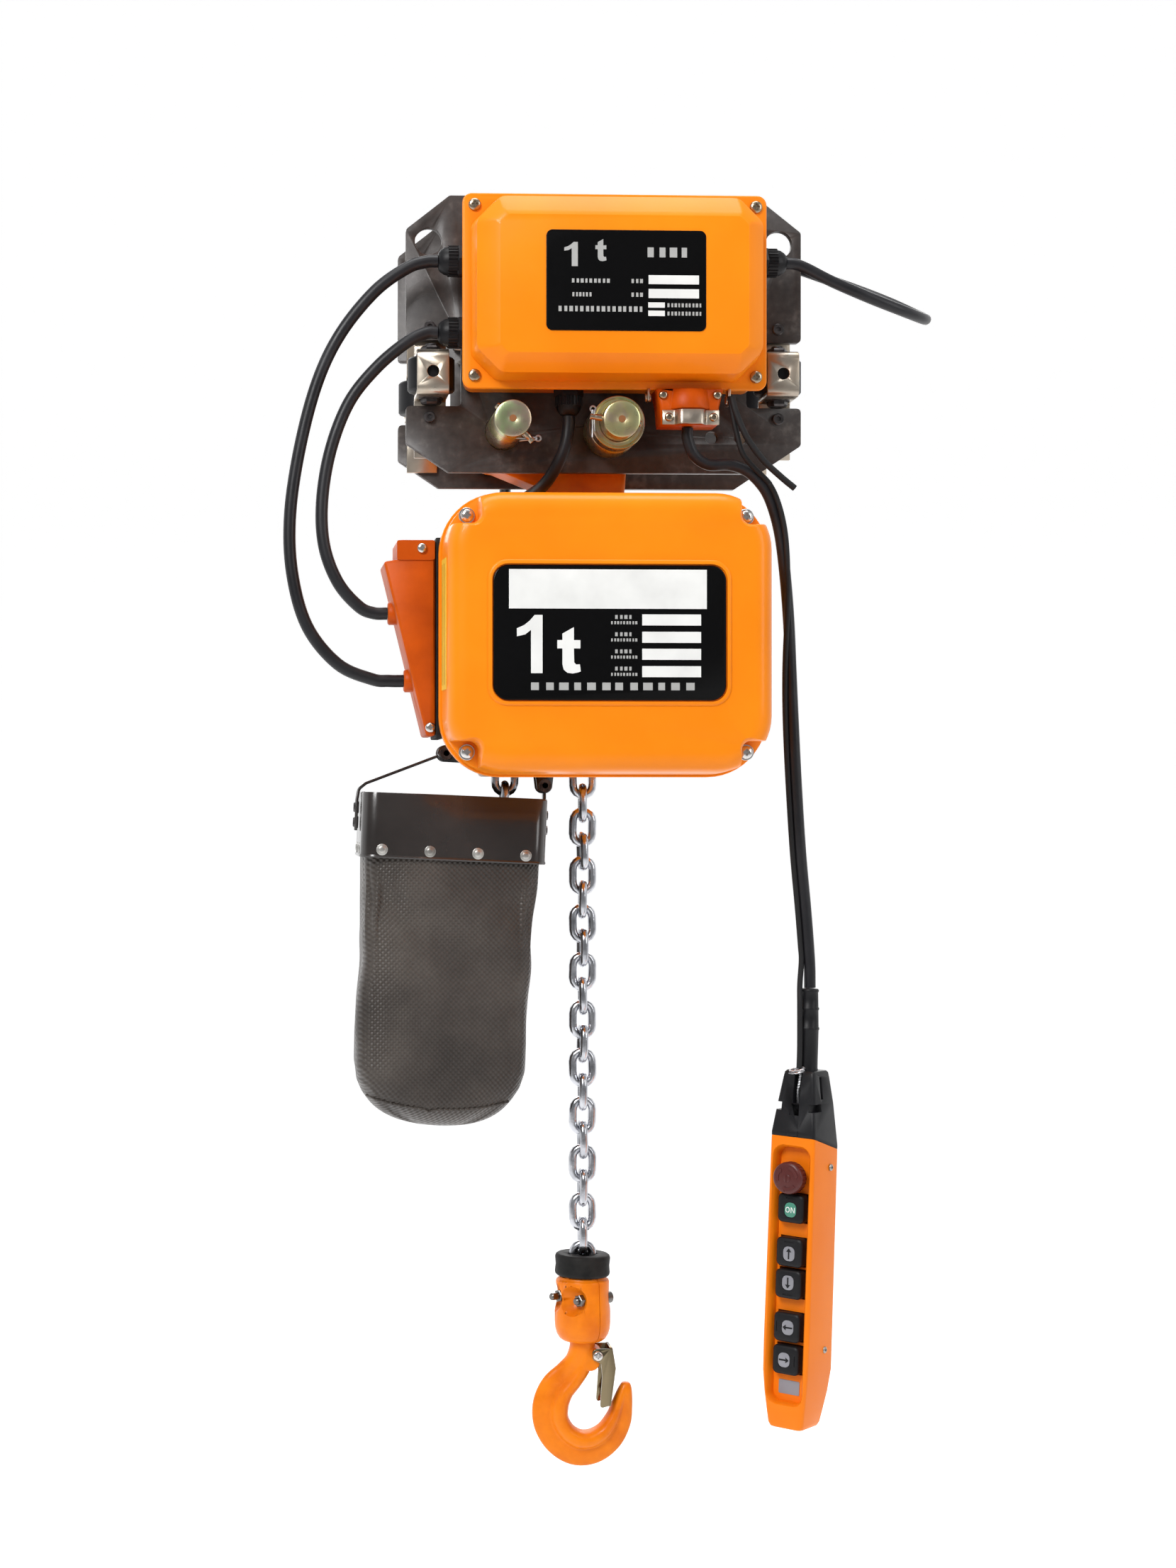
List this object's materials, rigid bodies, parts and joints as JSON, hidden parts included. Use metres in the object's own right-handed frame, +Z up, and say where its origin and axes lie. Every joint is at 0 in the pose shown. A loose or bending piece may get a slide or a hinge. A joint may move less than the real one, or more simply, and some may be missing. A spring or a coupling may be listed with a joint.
{
  "type": "electric chain hoist with motorised trolley",
  "caption": "Electric chain hoist on a motorised beam trolley, with control box, chain bag, swivel hook with latch, and a hanging push-button pendant.",
  "frame": {"origin": "on the beam's centre line, midway between the wheels, at the level where the wheels run on the lower flange", "axes": "+X along the beam, +Y away from the operator's side with the control box, +Z up"},
  "size_m": [0.5623, 0.492, 1.0947],
  "materials": {
    "orange_paint": "glossy orange stoved paint",
    "orange_plastic": "orange ABS with a fine sheen",
    "dark_paint": "dark brown-grey satin paint with bright worn edges",
    "yellow_zinc": "yellow-passivated zinc plate",
    "machined_steel": "turned and hobbed steel",
    "bright_zinc": "bright zinc-plated chain",
    "black_plastic": "moulded black",
    "black_rubber": "black cable sheath and rubber",
    "bag_fabric": "grey coated woven fabric with a dimpled face",
    "rim_paint": "dark glossy paint",
    "stop_plastic": "maroon plastic"
  },
  "bodies": {
    "frame": {"side_plate_front": "dark_paint", "side_plate_rear": "dark_paint", "suspension_shaft_left": "yellow_zinc", "suspension_shaft_right": "yellow_zinc", "shaft_collar": "yellow_zinc", "guide_bracket_front_left": "yellow_zinc", "guide_bracket_front_right": "yellow_zinc", "guide_bracket_rear_left": "yellow_zinc", "guide_bracket_rear_right": "yellow_zinc", "travel_motor": "dark_paint", "control_box": "orange_paint", "control_box_cover": "orange_paint", "gland_left_upper": "black_plastic", "gland_left_lower": "black_plastic", "gland_right": "black_plastic", "gland_bottom": "black_plastic", "pendant_socket": "orange_paint", "hanger_yoke": "orange_paint", "hoist_body": "orange_paint", "front_cover": "orange_paint", "motor_housing": "orange_paint", "fan_cover": "black_plastic", "plug_box": "orange_paint", "plug_gasket": "black_rubber", "bag_rim": "rim_paint", "chain_bag": "bag_fabric", "bag_strap_left": "rim_paint", "bag_strap_right": "rim_paint", "pendant_shell": "orange_plastic", "pendant_cap": "black_plastic", "lead_long": "black_rubber", "lead_short": "black_rubber", "travel_lead": "black_rubber", "supply_lead": "black_rubber", "supply_coil": "black_rubber", "pendant_cable": "black_rubber"},
    "wheel_front_left": {"wheel_front_left": "machined_steel"},
    "wheel_front_right": {"wheel_front_right": "machined_steel"},
    "wheel_rear_left": {"wheel_rear_left": "machined_steel"},
    "wheel_rear_right": {"wheel_rear_right": "machined_steel"},
    "guide_roller_front_left": {"guide_roller_front_left": "black_plastic"},
    "guide_roller_front_right": {"guide_roller_front_right": "black_plastic"},
    "guide_roller_rear_left": {"guide_roller_rear_left": "black_plastic"},
    "guide_roller_rear_right": {"guide_roller_rear_right": "black_plastic"},
    "drive_pinion": {"drive_pinion": "machined_steel"},
    "rotor": {"rotor": "machined_steel"},
    "intermediate_gear": {"intermediate_gear": "machined_steel"},
    "load_sheave": {"load_sheave": "machined_steel"},
    "hook_block": {"load_chain": "bright_zinc", "chain_stopper": "black_rubber", "hook_block_front": "orange_paint", "hook_block_rear": "orange_paint"},
    "hook": {"hook": "orange_paint"},
    "safety_latch": {"safety_latch": "yellow_zinc"},
    "on_button": {"on_button": "black_plastic"},
    "up_button": {"up_button": "black_plastic"},
    "down_button": {"down_button": "black_plastic"},
    "left_button": {"left_button": "black_plastic"},
    "right_button": {"right_button": "black_plastic"},
    "stop_button": {"stop_button": "stop_plastic"}
  },
  "joints": [
    {"name": "wheel_front_left_spin", "type": "hinge", "parent": "frame", "child": "wheel_front_left", "pos_m": [-0.075, -0.03, 0.038], "axis": [0, 1, 0], "continuous": true},
    {"name": "wheel_front_right_spin", "type": "hinge", "parent": "frame", "child": "wheel_front_right", "pos_m": [0.075, -0.03, 0.038], "axis": [0, 1, 0], "continuous": true},
    {"name": "wheel_rear_left_spin", "type": "hinge", "parent": "frame", "child": "wheel_rear_left", "pos_m": [-0.075, 0.03, 0.038], "axis": [0, 1, 0], "continuous": true},
    {"name": "wheel_rear_right_spin", "type": "hinge", "parent": "frame", "child": "wheel_rear_right", "pos_m": [0.075, 0.03, 0.038], "axis": [0, 1, 0], "continuous": true},
    {"name": "guide_roller_front_left_spin", "type": "hinge", "parent": "frame", "child": "guide_roller_front_left", "pos_m": [-0.148, -0.061, -0.0118], "axis": [0, 0, 1], "continuous": true},
    {"name": "guide_roller_front_right_spin", "type": "hinge", "parent": "frame", "child": "guide_roller_front_right", "pos_m": [0.148, -0.061, -0.0118], "axis": [0, 0, 1], "continuous": true},
    {"name": "guide_roller_rear_left_spin", "type": "hinge", "parent": "frame", "child": "guide_roller_rear_left", "pos_m": [-0.148, 0.061, -0.0118], "axis": [0, 0, 1], "continuous": true},
    {"name": "guide_roller_rear_right_spin", "type": "hinge", "parent": "frame", "child": "guide_roller_rear_right", "pos_m": [0.148, 0.061, -0.0118], "axis": [0, 0, 1], "continuous": true},
    {"name": "drive_pinion_spin", "type": "hinge", "parent": "frame", "child": "drive_pinion", "pos_m": [0, 0.045, 0.038], "axis": [0, 1, 0], "continuous": true},
    {"name": "rotor_spin", "type": "hinge", "parent": "frame", "child": "rotor", "pos_m": [-0.044, 0.1, -0.235], "axis": [0, 1, 0], "range_deg": [-2460, 2740]},
    {"name": "intermediate_gear_spin", "type": "hinge", "parent": "frame", "child": "intermediate_gear", "pos_m": [0.036, -0.1, -0.235], "axis": [0, 1, 0], "range_deg": [-690, 620]},
    {"name": "load_sheave_spin", "type": "hinge", "parent": "frame", "child": "load_sheave", "pos_m": [-0.044, 0, -0.235], "axis": [0, 1, 0], "range_deg": [-156, 173]},
    {"name": "hook_lift", "type": "slide", "parent": "frame", "child": "hook_block", "axis": [0, 0, 1], "range_m": [-0.1, 0.09]},
    {"name": "hook_swivel", "type": "hinge", "parent": "hook_block", "child": "hook", "pos_m": [-0.0106, 0, -0.832], "axis": [0, 0, 1], "continuous": true},
    {"name": "latch_pivot", "type": "hinge", "parent": "hook", "child": "safety_latch", "pos_m": [0.0012, 0, -0.8552], "axis": [0, 1, 0], "range_deg": [0, 30], "stiffness_Nm_per_rad": 0.06, "springref_deg": -17.19},
    {"name": "on_button_press", "type": "slide", "parent": "frame", "child": "on_button", "axis": [0.6424, 0.766, -0.0224], "range_m": [0, 0.003], "stiffness_N_per_m": 300, "springref_m": -0.001},
    {"name": "up_button_press", "type": "slide", "parent": "frame", "child": "up_button", "axis": [0.6424, 0.766, -0.0224], "range_m": [0, 0.003], "stiffness_N_per_m": 300, "springref_m": -0.001},
    {"name": "down_button_press", "type": "slide", "parent": "frame", "child": "down_button", "axis": [0.6424, 0.766, -0.0224], "range_m": [0, 0.003], "stiffness_N_per_m": 300, "springref_m": -0.001},
    {"name": "left_button_press", "type": "slide", "parent": "frame", "child": "left_button", "axis": [0.6424, 0.766, -0.0224], "range_m": [0, 0.003], "stiffness_N_per_m": 300, "springref_m": -0.001},
    {"name": "right_button_press", "type": "slide", "parent": "frame", "child": "right_button", "axis": [0.6424, 0.766, -0.0224], "range_m": [0, 0.003], "stiffness_N_per_m": 300, "springref_m": -0.001},
    {"name": "stop_button_press", "type": "slide", "parent": "frame", "child": "stop_button", "axis": [0.6424, 0.766, -0.0224], "range_m": [0, 0.004], "stiffness_N_per_m": 500, "springref_m": -0.001}
  ],
  "couplings": [
    {"joint": "drive_pinion_spin", "follows": "wheel_rear_left_spin", "ratio": -1.3333},
    {"joint": "wheel_rear_right_spin", "follows": "wheel_rear_left_spin", "ratio": 1},
    {"joint": "intermediate_gear_spin", "follows": "rotor_spin", "ratio": -0.25},
    {"joint": "load_sheave_spin", "follows": "rotor_spin", "ratio": 0.0625},
    {"joint": "hook_lift", "follows": "rotor_spin", "m_per_rad": -0.0020875}
  ]
}
